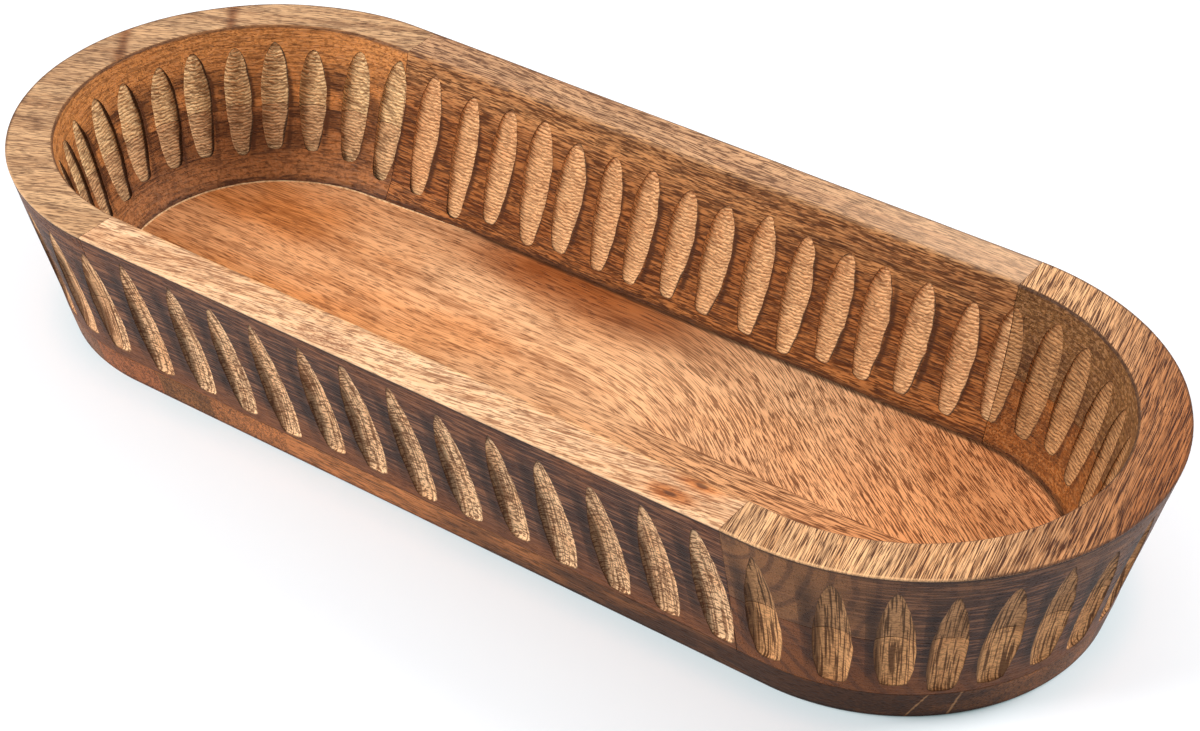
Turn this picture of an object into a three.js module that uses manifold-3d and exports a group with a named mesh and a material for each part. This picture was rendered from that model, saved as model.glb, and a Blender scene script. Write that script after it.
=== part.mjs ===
// A long carved bowl of mango wood, glued up from boards. Millimetres, +Z up.
// The origin is the middle of the underside, +X runs along the bowl and -Y is its front.
import * as THREE from "three";
import { mergeVertices } from "three/addons/utils/BufferGeometryUtils.js";
import Module from "manifold-3d";

const wasm = await Module();
wasm.setup();

// The bowl as a whole: two straight sides with half-round ends, leaning outwards to the rim
const LENGTH = 406; // over the rim, along X
const WIDTH = 164; // over the rim, along Y
const HEIGHT = 64; // resting face to rim
const WALL = 15.5; // wall thickness, measured level
const LEAN = 15.5; // how far the wall draws in from the rim down to the resting face
const GLUE_LINE = 0.2; // clearance between two glued faces
const END_FACETS = 24; // flats round each half-round end

// The boards of the wall: a rail along each side, and two boards one on the other at each end
const JOINT_SETBACK = 3.5; // rail end to the start of the round, before the rail is shifted
const RAIL_SHIFT = 5; // the front rail sits this far to the left, the back rail this far to the right
const LOWER_BOARD = 24.5; // thickness of the lower end boards, on top of the base

// The boards of the base: one behind the middle seam, a row of blocks and a board in front of it
const BASE = 11; // thickness
const BASE_SEAM_Y = -1; // the seam along the floor
const FRONT_BLOCKS = [54, 28, 22, 31]; // lengths of the front blocks, from the left end

// The gouge cuts down both faces of the wall, each a long hollow scooped with a round tool
const OUTER_CUTS = { count: 57, width: 10.5, depth: 3.2, slant: -4.5, start: 2.2 };
const INNER_CUTS = { count: 61, width: 8.5, depth: 2.8, slant: -2, start: 2.6 };
const CUT_ABOVE_BASE = 4.5; // foot of a cut to the top of the base
const CUT_BELOW_RIM = 7; // head of a cut to the rim
const CUT_SIDES = 8; // flats round the tool's sweep
const CUT_RINGS = 4; // steps along it

const RADIUS = WIDTH / 2;
const HALF_STRAIGHT = (LENGTH - WIDTH) / 2;
const LAMINATION = BASE + LOWER_BOARD;
const RAIL_HALF = HALF_STRAIGHT - JOINT_SETBACK;

const RAIL_WOOD = wood(0xc08a5a, 0.55);
const END_WOOD = wood(0x9a643c, 0.55);
const BASE_WOOD = wood(0xc98a56, 0.5);

/** A waxed wood of one colour. */
function wood(color, roughness) {
  return new THREE.MeshStandardMaterial({ color, roughness, metalness: 0, flatShading: true });
}

/** Turns a closed three.js geometry into a solid that can be cut. */
function solidOf(geometry) {
  geometry.deleteAttribute("normal");
  geometry.deleteAttribute("uv");
  const merged = mergeVertices(geometry);
  const mesh = new wasm.Mesh({
    numProp: 3,
    vertProperties: new Float32Array(merged.attributes.position.array),
    triVerts: new Uint32Array(merged.index.array),
  });
  return new wasm.Manifold(mesh);
}

/** Turns a solid into a named board of the bowl. */
function board(name, solid, material) {
  const { vertProperties, triVerts } = solid.getMesh();
  const geometry = new THREE.BufferGeometry();
  geometry.setAttribute("position", new THREE.BufferAttribute(vertProperties, 3));
  geometry.setIndex(new THREE.BufferAttribute(triVerts, 1));
  geometry.computeVertexNormals();
  const mesh = new THREE.Mesh(geometry, material);
  mesh.name = name;
  return mesh;
}

/** The rim's outline at a radius: straight sides and half-round ends. */
function rimOutline(radius) {
  const outline = new THREE.Shape();
  outline.moveTo(-HALF_STRAIGHT, -radius);
  outline.lineTo(HALF_STRAIGHT, -radius);
  outline.absarc(HALF_STRAIGHT, 0, radius, -Math.PI / 2, Math.PI / 2);
  outline.lineTo(-HALF_STRAIGHT, radius);
  outline.absarc(-HALF_STRAIGHT, 0, radius, Math.PI / 2, 1.5 * Math.PI);
  return outline;
}

/** How far the leaning wall has drawn in at a height. */
function drawnIn(height) {
  return LEAN * (1 - height / HEIGHT);
}

/** A slab of an outline between two heights, with its sides leaning as the wall does. */
function leaningSlab(outline, bottom, top) {
  const options = { depth: top - bottom, bevelEnabled: false, curveSegments: END_FACETS };
  const geometry = new THREE.ExtrudeGeometry(outline, options).translate(0, 0, bottom);
  const position = geometry.attributes.position;
  const point = new THREE.Vector3();
  const outward = new THREE.Vector3();
  for (let i = 0; i < position.count; i += 1) {
    point.fromBufferAttribute(position, i);
    const onMiddle = THREE.MathUtils.clamp(point.x, -HALF_STRAIGHT, HALF_STRAIGHT);
    outward.set(point.x - onMiddle, point.y, 0).normalize();
    point.addScaledVector(outward, -drawnIn(point.z));
    position.setXYZ(i, point.x, point.y, point.z);
  }
  return solidOf(geometry);
}

/** A box between two corners, to cut boards with. */
function cuttingBox(low, high) {
  const size = new THREE.Vector3().subVectors(high, low);
  const middle = new THREE.Vector3().addVectors(low, high).multiplyScalar(0.5);
  return solidOf(new THREE.BoxGeometry(size.x, size.y, size.z).translate(middle.x, middle.y, middle.z));
}

/** The point of the straight or the end's centre, and the way out from it, some way round the rim. */
function placeOnRim(run, radius) {
  const straight = 2 * HALF_STRAIGHT;
  const end = Math.PI * radius;
  let rest = (run + HALF_STRAIGHT) % (2 * (straight + end));
  if (rest < straight) return { x: rest - HALF_STRAIGHT, turn: -Math.PI / 2 };
  rest -= straight;
  if (rest < end) return { x: HALF_STRAIGHT, turn: rest / radius - Math.PI / 2 };
  rest -= end;
  if (rest < straight) return { x: HALF_STRAIGHT - rest, turn: Math.PI / 2 };
  rest -= straight;
  return { x: -HALF_STRAIGHT, turn: rest / radius + Math.PI / 2 };
}

/** One gouge cut: a long ellipsoid sunk into a face of the wall to its depth, along the wall's slope. */
function gougeCut(cuts, rimRadius, side, run) {
  const { x, turn } = placeOnRim(run, rimRadius);
  const outward = new THREE.Vector3(Math.cos(turn), Math.sin(turn), 0);
  const along = new THREE.Vector3(-Math.sin(turn), Math.cos(turn), 0);
  const upSlope = new THREE.Vector3(0, 0, 1).addScaledVector(outward, LEAN / HEIGHT).normalize();
  const faceOut = new THREE.Vector3().crossVectors(along, upSlope).multiplyScalar(side);

  const foot = BASE + CUT_ABOVE_BASE;
  const head = HEIGHT - CUT_BELOW_RIM;
  const middle = (foot + head) / 2;
  const toolRadius = (cuts.width ** 2 / 4 + cuts.depth ** 2) / (2 * cuts.depth);
  const above = toolRadius - cuts.depth;
  const sweep = (head - foot) / 2 / upSlope.z / Math.sqrt(1 - (above / toolRadius) ** 2);

  const axis = upSlope.clone().multiplyScalar(head - foot).addScaledVector(along, cuts.slant).normalize();
  const centre = new THREE.Vector3(x, 0, middle)
    .addScaledVector(outward, rimRadius - drawnIn(middle))
    .addScaledVector(faceOut, above);
  const placing = new THREE.Matrix4()
    .makeBasis(faceOut, axis, new THREE.Vector3().crossVectors(faceOut, axis))
    .scale(new THREE.Vector3(toolRadius, sweep, toolRadius))
    .setPosition(centre);
  return solidOf(new THREE.SphereGeometry(1, CUT_SIDES, CUT_RINGS).applyMatrix4(placing));
}

/** All the cuts of one face, evenly spaced round its rim. */
function gougeCuts(cuts, rimRadius, side) {
  const lap = 4 * HALF_STRAIGHT + 2 * Math.PI * rimRadius;
  const all = [];
  for (let i = 0; i < cuts.count; i += 1) {
    all.push(gougeCut(cuts, rimRadius, side, cuts.start + (i * lap) / cuts.count));
  }
  return all;
}

/** A box across the whole bowl, kept to the ranges that are given. */
function slice({ x = [-LENGTH, LENGTH], y = [-WIDTH, WIDTH], z = [-HEIGHT, 2 * HEIGHT] }) {
  return cuttingBox(new THREE.Vector3(x[0], y[0], z[0]), new THREE.Vector3(x[1], y[1], z[1]));
}

/** The wall ring with its gouge cuts, before it is parted into boards. */
function carvedWall() {
  const ring = rimOutline(RADIUS);
  ring.holes.push(rimOutline(RADIUS - WALL));
  const cuts = [...gougeCuts(OUTER_CUTS, RADIUS, 1), ...gougeCuts(INNER_CUTS, RADIUS - WALL, -1)];
  return leaningSlab(ring, BASE + GLUE_LINE, HEIGHT).subtract(wasm.Manifold.union(cuts));
}

/** The six boards of the wall. */
function wallBoards() {
  const wall = carvedWall();
  const gap = GLUE_LINE / 2;
  const rails = [
    { name: "front_rail", x: [-RAIL_HALF - RAIL_SHIFT, RAIL_HALF - RAIL_SHIFT], y: [-WIDTH, 0] },
    { name: "back_rail", x: [-RAIL_HALF + RAIL_SHIFT, RAIL_HALF + RAIL_SHIFT], y: [0, WIDTH] },
  ];
  const boards = [];
  let ends = wall;
  for (const { name, x, y } of rails) {
    boards.push(board(name, wall.intersect(slice({ x: [x[0] + gap, x[1] - gap], y })), RAIL_WOOD));
    ends = ends.subtract(slice({ x: [x[0] - gap, x[1] + gap], y }));
  }
  const sides = { left_end: [-LENGTH, 0], right_end: [0, LENGTH] };
  const layers = { lower_board: [0, LAMINATION - gap], upper_board: [LAMINATION + gap, 2 * HEIGHT] };
  for (const [side, x] of Object.entries(sides)) {
    for (const [layer, z] of Object.entries(layers)) {
      boards.push(board(`${side}_${layer}`, ends.intersect(slice({ x, z })), END_WOOD));
    }
  }
  return boards;
}

/** The boards of the base: the back board, and the front row parted at its joints. */
function baseBoards() {
  const panel = leaningSlab(rimOutline(RADIUS), 0, BASE);
  const gap = GLUE_LINE / 2;
  const back = panel.intersect(slice({ y: [BASE_SEAM_Y + gap, WIDTH] }));
  const boards = [board("base_back_board", back, BASE_WOOD)];
  let left = drawnIn(BASE) - LENGTH / 2;
  FRONT_BLOCKS.forEach((length, i) => {
    const x = [i === 0 ? -LENGTH : left + gap, left + length - gap];
    const block = panel.intersect(slice({ x, y: [-WIDTH, BASE_SEAM_Y - gap] }));
    boards.push(board(`base_front_block_${i + 1}`, block, BASE_WOOD));
    left += length;
  });
  const front = panel.intersect(slice({ x: [left + gap, LENGTH], y: [-WIDTH, BASE_SEAM_Y - gap] }));
  boards.push(board("base_front_board", front, BASE_WOOD));
  return boards;
}

const bowl = new THREE.Group();
bowl.add(...baseBoards(), ...wallBoards());

export default bowl;
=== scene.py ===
# %% [markdown]
# # A carved mango wood bowl, board by board
# The real bowl is glued up from twelve boards of mango wood and then carved: a round gouge is swept
# down both faces of the wall, the flats between the cuts are scorched dark, and everything is
# waxed. The solids of the boards are loaded first, and every size below is measured on them.

# %% Load the solids and keep their box
import math
import random

import bmesh
import bpy
from mathutils import Matrix, Vector


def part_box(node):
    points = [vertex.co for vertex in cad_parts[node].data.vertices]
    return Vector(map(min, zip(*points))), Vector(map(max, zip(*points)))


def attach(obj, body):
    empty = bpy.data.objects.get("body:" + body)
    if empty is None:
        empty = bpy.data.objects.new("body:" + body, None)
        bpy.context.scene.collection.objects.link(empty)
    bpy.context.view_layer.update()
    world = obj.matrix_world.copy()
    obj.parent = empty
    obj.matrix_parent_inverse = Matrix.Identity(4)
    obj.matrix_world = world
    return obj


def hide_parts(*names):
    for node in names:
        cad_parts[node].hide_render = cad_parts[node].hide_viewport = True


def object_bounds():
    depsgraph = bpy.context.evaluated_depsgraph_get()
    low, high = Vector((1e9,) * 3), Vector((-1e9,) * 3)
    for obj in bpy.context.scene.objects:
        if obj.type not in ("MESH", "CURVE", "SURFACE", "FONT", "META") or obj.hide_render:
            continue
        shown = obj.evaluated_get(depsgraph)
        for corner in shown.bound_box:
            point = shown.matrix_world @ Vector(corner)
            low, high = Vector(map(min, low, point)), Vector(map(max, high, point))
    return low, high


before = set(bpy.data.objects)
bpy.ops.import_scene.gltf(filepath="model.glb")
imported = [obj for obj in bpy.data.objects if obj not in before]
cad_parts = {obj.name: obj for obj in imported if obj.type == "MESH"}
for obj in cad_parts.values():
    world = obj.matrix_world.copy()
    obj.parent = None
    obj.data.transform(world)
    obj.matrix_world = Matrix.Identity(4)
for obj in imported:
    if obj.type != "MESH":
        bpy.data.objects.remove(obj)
CAD_LOW, CAD_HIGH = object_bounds()
print("solids:", len(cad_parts), "box:", [round(v, 4) for v in (*CAD_LOW, *CAD_HIGH)])

# %% [markdown]
# The bowl is a long shape with straight sides and half-round ends. Any point of its wall is
# described by how far it lies out from the middle line, which runs between the centres of the two
# round ends. The wall leans: it draws in steadily from the rim down to the resting face, so one
# slope gives every width at every height.

# %% Measure the form
MM = 0.001
RADIUS = CAD_HIGH.y
HEIGHT = CAD_HIGH.z
HALF_STRAIGHT = CAD_HIGH.x - RADIUS
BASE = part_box("base_back_board")[1].z
WALL_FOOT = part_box("front_rail")[0].z
SLOPE = (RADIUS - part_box("base_back_board")[1].y) / (HEIGHT - BASE)
WALL = RADIUS - SLOPE * (HEIGHT - WALL_FOOT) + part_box("front_rail")[1].y
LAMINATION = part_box("left_end_lower_board")[1].z
GLUE_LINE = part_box("left_end_upper_board")[0].z - LAMINATION


def reach(height, inset=0.0):
    """How far the wall lies out from the middle line at a height."""
    return RADIUS - inset - SLOPE * (HEIGHT - height)


def out_from_middle(point):
    """A point's distance from the middle line, seen from above."""
    beyond = max(abs(point.x) - HALF_STRAIGHT, 0.0)
    return math.hypot(beyond, point.y)


print("wall", round(WALL / MM, 2), "mm, slope", round(SLOPE, 4))
print("glue line", round(GLUE_LINE / MM, 2), "mm")

# %% [markdown]
# Modelling by hand goes in and out of edit mode all the time. These few helpers open a mesh and
# select parts of it by their place, so that each step below reads like the moves a person would
# make. Others follow where they are first needed.

# %% Hand tools
NEAR = 0.1 * MM


def select_only(piece):
    """Makes one piece the selected and active one."""
    bpy.ops.object.select_all(action="DESELECT")
    bpy.context.view_layer.objects.active = piece
    piece.select_set(True)


def edit(piece):
    """Opens one mesh for editing, with nothing else selected."""
    select_only(piece)
    bpy.ops.object.mode_set(mode="EDIT")


def close():
    """Goes back to object mode."""
    bpy.ops.object.mode_set(mode="OBJECT")


def pick(piece, kind, test):
    """Selects the vertices, edges or faces of the open mesh that pass a test."""
    bpy.ops.mesh.select_mode(type=kind)
    bpy.ops.mesh.select_all(action="DESELECT")
    mesh = bmesh.from_edit_mesh(piece.data)
    parts = {"VERT": mesh.verts, "EDGE": mesh.edges, "FACE": mesh.faces}[kind]
    chosen = [part for part in parts if test(part)]
    for part in chosen:
        part.select_set(True)
    mesh.select_flush_mode()
    bmesh.update_edit_mesh(piece.data)
    return len(chosen)


print("hand tools:", [tool.__name__ for tool in (select_only, edit, close, pick)])

# %% [markdown]
# Everything on this bowl that goes all the way round starts as a circle: the wall, the base and the
# line of filler. Pulling the two halves of a circle apart by the length of the straight sides makes
# the bowl's long outline, and the ends stay truly round. The long edges that this leaves are
# divided, so that they can be bent a little.

# %% Stretch a circle
RIM_STEPS = 144
SIDE_CUTS = 47


def pull_apart(piece):
    """Pulls the two halves of a round ring apart, which makes the straight sides."""
    for side in (-1, 1):
        pick(piece, "VERT", lambda v: v.co.x * side > 0)
        bpy.ops.transform.translate(value=(side * HALF_STRAIGHT, 0, 0))


def round_ring(radius, height, steps, fill="NOTHING"):
    """A circle at a height, turned so that no vertex lies on the line where it is pulled apart."""
    bpy.ops.object.select_all(action="DESELECT")
    turn = (0, 0, math.pi / steps)
    bpy.ops.mesh.primitive_circle_add(
        vertices=steps, radius=radius, fill_type=fill, location=(0, 0, height), rotation=turn)
    bpy.ops.object.transform_apply(location=True, rotation=True, scale=True)
    return bpy.context.object


def divide_sides(piece):
    """Divides the long edges of the straight sides, so that they can be bent a little."""
    pick(piece, "EDGE", lambda e: abs(e.verts[0].co.x - e.verts[1].co.x) > HALF_STRAIGHT)
    bpy.ops.mesh.subdivide(number_cuts=SIDE_CUTS)


print("round the ends:", RIM_STEPS, "steps; along a side:", SIDE_CUTS + 1)

# %% [markdown]
# The wall is one ring before it is sawn. A circle stands for the outer foot; extruding it up, over
# the rim and down the inside, with a little scaling each time for the lean, draws the section of
# the wall. Bridging the two open edges closes it, and then it is stretched. The edges of the rim
# are rounded by a bevel, as sandpaper does.

# %% Draw the wall as a ring
WALL_LEVELS = 8
OUTER_ARRIS = 0.5 * MM
INNER_ARRIS = 1.1 * MM


def draw_ring():
    """The wall's closed section, carried round the bowl."""
    heights = [WALL_FOOT + (HEIGHT - WALL_FOOT) * i / WALL_LEVELS for i in range(WALL_LEVELS + 1)]
    section = [(reach(z), z) for z in heights] + [(reach(z, WALL), z) for z in reversed(heights)]
    ring = round_ring(*section[0], RIM_STEPS)
    edit(ring)
    bpy.ops.mesh.select_all(action="SELECT")
    for (radius, height), (next_radius, next_height) in zip(section, section[1:]):
        rise = {"value": (0, 0, next_height - height)}
        bpy.ops.mesh.extrude_edges_move(TRANSFORM_OT_translate=rise)
        grow = next_radius / radius
        bpy.ops.transform.resize(value=(grow, grow, 1), center_override=(0, 0, 0))
    bpy.ops.mesh.select_mode(type="EDGE")
    bpy.ops.mesh.select_all(action="DESELECT")
    bpy.ops.mesh.select_non_manifold()
    bpy.ops.mesh.bridge_edge_loops()
    pull_apart(ring)
    divide_sides(ring)
    bpy.ops.mesh.select_all(action="SELECT")
    bpy.ops.mesh.normals_make_consistent(inside=False)
    return ring


def on_rim_edge(edge, inset):
    """True for an edge that runs round the rim at an inset from the outside."""
    return all(v.co.z > HEIGHT - NEAR and abs(out_from_middle(v.co) - RADIUS + inset) < NEAR
               for v in edge.verts)


ring = draw_ring()
pick(ring, "EDGE", lambda e: on_rim_edge(e, WALL))
bpy.ops.mesh.bevel(offset=INNER_ARRIS, segments=4, affect="EDGES")
pick(ring, "EDGE", lambda e: on_rim_edge(e, 0.0))
bpy.ops.mesh.bevel(offset=OUTER_ARRIS, segments=2, affect="EDGES")
close()
print("ring:", len(ring.data.vertices), "vertices")

# %% [markdown]
# At the left end the real wall is thicker at its foot, so the floor stops a few millimetres short
# there. The lowest two rings of points inside are pulled in: all the way round the left end, and
# less and less along the sides.

# %% Thicken the foot at the left
FOOT_FLARE = 4.6 * MM
FLARE_FROM = -60 * MM
FLARE_FULL = -150 * MM
FLARE_SHARES = {0: 1.0, 1: 0.25}


def foot_share(point):
    """How far a point goes with the pull: fully on the foot's inner edge, a little just above."""
    if out_from_middle(point) > reach(point.z, WALL / 2):
        return 0.0
    level = round((point.z - WALL_FOOT) / (HEIGHT - WALL_FOOT) * WALL_LEVELS)
    return FLARE_SHARES.get(level, 0.0)


def flare_in(piece, share):
    """Pulls a piece's points in towards the middle line where the foot of the wall is thicker."""
    for vertex in piece.data.vertices:
        part = min(1.0, max(0.0, (vertex.co.x - FLARE_FROM) / (FLARE_FULL - FLARE_FROM)))
        on_middle = Vector((max(-HALF_STRAIGHT, min(HALF_STRAIGHT, vertex.co.x)), 0, vertex.co.z))
        pull = FOOT_FLARE * share(vertex.co) * part ** 2 * (3 - 2 * part)
        vertex.co += (on_middle - vertex.co).normalized() * pull


flare_in(ring, foot_share)
print("foot thicker by up to", round(FOOT_FLARE / MM, 1), "mm at the left")

# %% [markdown]
# No hand-sanded wall is dead true. A slow cloud pattern pushes the ring's surface in by parts of a
# millimetre. Only the part above the glue line to the base is in the vertex group, so the foot
# stays tight on the base.

# %% Leave the marks of hand sanding
UNEVEN = 0.4 * MM
UNEVEN_SIZE = 35 * MM
TIGHT_FOOT = 1 * MM


def apply_modifier(piece, kind, **settings):
    """Adds one modifier, sets it and applies it."""
    modifier = piece.modifiers.new(kind.lower(), kind)
    for name, value in settings.items():
        setattr(modifier, name, value)
    select_only(piece)
    bpy.ops.object.modifier_apply(modifier=modifier.name)


def cloud_texture(name, size):
    """A cloud pattern of a given size, for a Displace modifier."""
    texture = bpy.data.textures.new(name, "CLOUDS")
    texture.noise_scale = size
    texture.noise_depth = 1
    return texture


sanding = cloud_texture("hand_sanding", UNEVEN_SIZE)
free = ring.vertex_groups.new(name="above_foot")
above = [v.index for v in ring.data.vertices if v.co.z > WALL_FOOT + TIGHT_FOOT]
free.add(above, 1.0, "REPLACE")
apply_modifier(ring, "DISPLACE", texture=sanding, texture_coords="LOCAL", strength=UNEVEN,
               mid_level=1.0, vertex_group="above_foot")
print("sanding up to", UNEVEN / MM, "mm")

# %% [markdown]
# A saw cut is one bisect: it cuts the selected faces along a plane, drops what lies on one side and
# closes the cut with a new face. These helpers copy a piece, saw it and throw away what isn't
# needed.

# %% Saw tools
def copy_of(piece, name):
    """A copy of a piece with a mesh of its own."""
    twin = piece.copy()
    twin.data = piece.data.copy()
    twin.name = name
    twin.data.name = name
    bpy.context.scene.collection.objects.link(twin)
    return twin


def discard(*pieces):
    """Throws away work pieces that aren't part of the bowl."""
    for piece in pieces:
        bpy.data.objects.remove(piece)


def saw(piece, place, facing, only=None):
    """Saws through a piece and drops what lies on the side that the cut faces."""
    edit(piece)
    if only is None:
        bpy.ops.mesh.select_all(action="SELECT")
    else:
        pick(piece, "FACE", only)
    bpy.ops.mesh.bisect(plane_co=place, plane_no=facing, use_fill=True, clear_outer=True)
    close()


def keep_side(piece, test):
    """Deletes the loose part of a mesh whose vertices fail a test."""
    edit(piece)
    pick(piece, "VERT", lambda v: not test(v.co))
    bpy.ops.mesh.delete(type="VERT")
    close()


print("saw tools:", [tool.__name__ for tool in (copy_of, discard, saw, keep_side)])

# %% [markdown]
# Now the ring is sawn where the real boards meet. Each board is a copy of the ring with everything
# past its joints cut away: two rails along the sides, and at each end two boards, one glued on the
# other. The front rail sits a little to the left of the back one, so each end has one longer arm,
# which is shortened by a saw cut of its own.

# %% Saw the ring into boards
RAIL_JOINTS = {name: (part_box(name)[0].x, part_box(name)[1].x) for name in ("front_rail", "back_rail")}


def saw_rail(name, side):
    """A rail: the straight part of the ring on one side, between its two joints."""
    rail = copy_of(ring, name + "_carved")
    low, high = RAIL_JOINTS[name]
    saw(rail, (low, 0, 0), (-1, 0, 0))
    saw(rail, (high, 0, 0), (1, 0, 0))
    keep_side(rail, lambda point: point.y * side > 0)
    return rail


def saw_end(side):
    """A whole end: what is left beyond the rails' joints."""
    end = copy_of(ring, "end_work_piece")
    joints = {name: x[0 if side < 0 else 1] + side * GLUE_LINE for name, x in RAIL_JOINTS.items()}
    inner = min(joints.values(), key=abs)
    saw(end, (inner, 0, 0), (-side, 0, 0))
    for name, arm in (("front_rail", -1), ("back_rail", 1)):
        if joints[name] != inner:
            half = RADIUS / 2
            saw(end, (joints[name], 0, 0), (-side, 0, 0), lambda f: all(
                v.co.y * arm > half and abs(v.co.x) < HALF_STRAIGHT + half for v in f.verts))
    return end


boards = {"front_rail": saw_rail("front_rail", -1), "back_rail": saw_rail("back_rail", 1)}
for end_name, side in (("left_end", -1), ("right_end", 1)):
    whole = saw_end(side)
    lower = copy_of(whole, end_name + "_lower_board_carved")
    saw(lower, (0, 0, LAMINATION), (0, 0, 1))
    upper = copy_of(whole, end_name + "_upper_board_carved")
    saw(upper, (0, 0, LAMINATION + GLUE_LINE), (0, 0, -1))
    boards[end_name + "_lower_board"] = lower
    boards[end_name + "_upper_board"] = upper
    discard(whole)
discard(ring)
print("boards:", {name: len(piece.data.polygons) for name, piece in boards.items()})

# %% [markdown]
# A gouge cut is the space that a round tool swept out. Its shape is made once for each face of the
# wall, as a closed form to subtract: a sphere whose rings are each resized and shifted, so that the
# cut has a chosen width and depth at every height. It runs out in a point at the top and stops in a
# blunt end at the bottom. The form is one unit long, wide and deep. Two maps go with it: where a
# point lies across and along the cut, and two random numbers of the cut.

# %% Shape the gouge's sweep
TOOL_SIDES = 28
TOOL_RINGS = 22
CUT_MAP = "cut"
LUCK_MAP = "luck"
ROUNDNESS = 1.25
BLUNT_FOOT = 40


def sweep_width(level, widest, head_power, head_fullness, foot_taper):
    """The cut's width at a level from -0.5 to 0.5: a pointed head and a tapered, blunt foot."""
    if level > widest:
        part = (level - widest) / (0.5 - widest)
        return (1 - part ** head_power) ** head_fullness
    part = (widest - level) / (widest + 0.5)
    return (1 - foot_taper * part ** 2) * math.sqrt(1 - part ** BLUNT_FOOT)


def draw_sweep(name, **profile):
    """The unit gouge sweep: z runs up the cut, x points out of the wood and y across."""
    bpy.ops.object.select_all(action="DESELECT")
    bpy.ops.mesh.primitive_uv_sphere_add(segments=TOOL_SIDES, ring_count=TOOL_RINGS, radius=0.5)
    sweep = bpy.context.object
    sweep.name = name
    edit(sweep)
    levels = sorted({round(v.co.z, 5) for v in bmesh.from_edit_mesh(sweep.data).verts})
    for level in levels[1:-1]:
        width = 0.5 * sweep_width(level, **profile)
        depth = ROUNDNESS * width * (1 - level ** 2)
        radius = (width ** 2 + depth ** 2) / (2 * depth)
        now = math.sqrt(0.25 - level ** 2)
        pick(sweep, "VERT", lambda v: abs(v.co.z - level) < 1e-4)
        bpy.ops.transform.resize(value=(radius / now, radius / now, 1), center_override=(0, 0, level))
        bpy.ops.transform.translate(value=(radius - depth, 0, 0))
    close()
    for layer_name in (CUT_MAP, LUCK_MAP):
        sweep.data.uv_layers.new(name=layer_name)
    across_and_along = sweep.data.uv_layers[CUT_MAP].data
    for loop in sweep.data.loops:
        point = sweep.data.vertices[loop.vertex_index].co
        across_and_along[loop.index].uv = (point.y + 0.5, point.z + 0.5)
    return sweep


outside_sweep = draw_sweep(
    "outside_sweep", widest=-0.16, head_power=1.9, head_fullness=0.7, foot_taper=0.32)
inside_sweep = draw_sweep(
    "inside_sweep", widest=0.05, head_power=2.4, head_fullness=0.6, foot_taper=0.48)
print("sweep:", len(outside_sweep.data.polygons), "faces")

# %% [markdown]
# The carver works round the bowl by eye. The cuts are spaced evenly along the rim, as on the real
# bowl, and then each one is nudged a little in place, length, width, depth and slant by a seeded
# random draw. On the rails the cuts run lower than on the ends and their tops drop towards the
# right; at the ends they stop higher above the floor. Going into one end of each face, the real
# cuts come a few millimetres late, and so do these.

# %% Describe the cuts
HAND = random.Random(7)
END_SLANT = 0.4
RIGHT_END_RUN = HALF_STRAIGHT
LEFT_END_RUN = 3 * HALF_STRAIGHT + math.pi * (RADIUS - WALL)
OUTSIDE = {
    "count": 57, "inset": 0.0, "faces": 1, "depth": 2.6 * MM, "slant": -3.2 * MM, "start": 0.5 * MM,
    "rail_width": 10.8 * MM, "rail_foot": 13.2 * MM, "rail_head": 59.5 * MM, "head_drop": 1.5 * MM,
    "end_width": 11.0 * MM, "end_foot": 13.6 * MM, "end_head": 57.5 * MM, "slip": 6.5 * MM,
    "slip_span": (RIGHT_END_RUN, RIGHT_END_RUN + 26 * MM, RIGHT_END_RUN + 26 * MM,
                  RIGHT_END_RUN + math.pi * RADIUS)}
INSIDE = {
    "count": 61, "inset": WALL, "faces": -1, "depth": 2.4 * MM, "slant": -2.0 * MM, "start": 2.6 * MM,
    "rail_width": 10.0 * MM, "rail_foot": 14.6 * MM, "rail_head": 55.5 * MM, "head_drop": 3.5 * MM,
    "end_width": 9.8 * MM, "end_foot": 19.5 * MM, "end_head": 57.0 * MM, "slip": 6.4 * MM,
    "slip_span": (LEFT_END_RUN - 45 * MM, LEFT_END_RUN + 20 * MM, LEFT_END_RUN + 118 * MM,
                  LEFT_END_RUN + math.pi * (RADIUS - WALL))}
PLACE_NUDGE_MM = 0.8
END_NUDGE_MM = 1.5
SLANT_NUDGE_MM = 1.2


def slipped(run, face):
    """The place of a cut that comes late into one end of a face; the carver catches up later."""
    begin, full, fade, gone = face["slip_span"]
    late = min((run - begin) / (full - begin), (gone - run) / (gone - fade), 1.0)
    return run + face["slip"] * max(0.0, late)


lap_lengths = {name: 4 * HALF_STRAIGHT + 2 * math.pi * (RADIUS - face["inset"])
               for name, face in (("outside", OUTSIDE), ("inside", INSIDE))}
print("way round, mm:", {name: round(lap / MM, 1) for name, lap in lap_lengths.items()})

# %% [markdown]
# A cut's place is a distance along the rim, counted from the middle of the front. It has to become
# a point and a direction: straight on along a side, and turning round the end's centre at an end.

# %% Walk along the rim
def place_on_rim(run, radius):
    """A point of the middle line and the turn out of it, some way round from the front's middle."""
    straight = 2 * HALF_STRAIGHT
    end = math.pi * radius
    rest = (run + HALF_STRAIGHT) % (2 * (straight + end))
    if rest < straight:
        return rest - HALF_STRAIGHT, -math.pi / 2
    rest -= straight
    if rest < end:
        return HALF_STRAIGHT, rest / radius - math.pi / 2
    rest -= end
    if rest < straight:
        return HALF_STRAIGHT - rest, math.pi / 2
    return -HALF_STRAIGHT, (rest - straight) / radius + math.pi / 2


for way in (0.0, HALF_STRAIGHT + RADIUS):
    print(round(way / MM), "mm along: x and turn", [round(v, 3) for v in place_on_rim(way, RADIUS)])

# %% [markdown]
# Each cut is a copy of the unit sweep, put in its place by one matrix. It is turned to the slope of
# the wall and to the slant of the cut, stretched to its length, width and depth, and moved so that
# its middle lies on the face.

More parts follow.
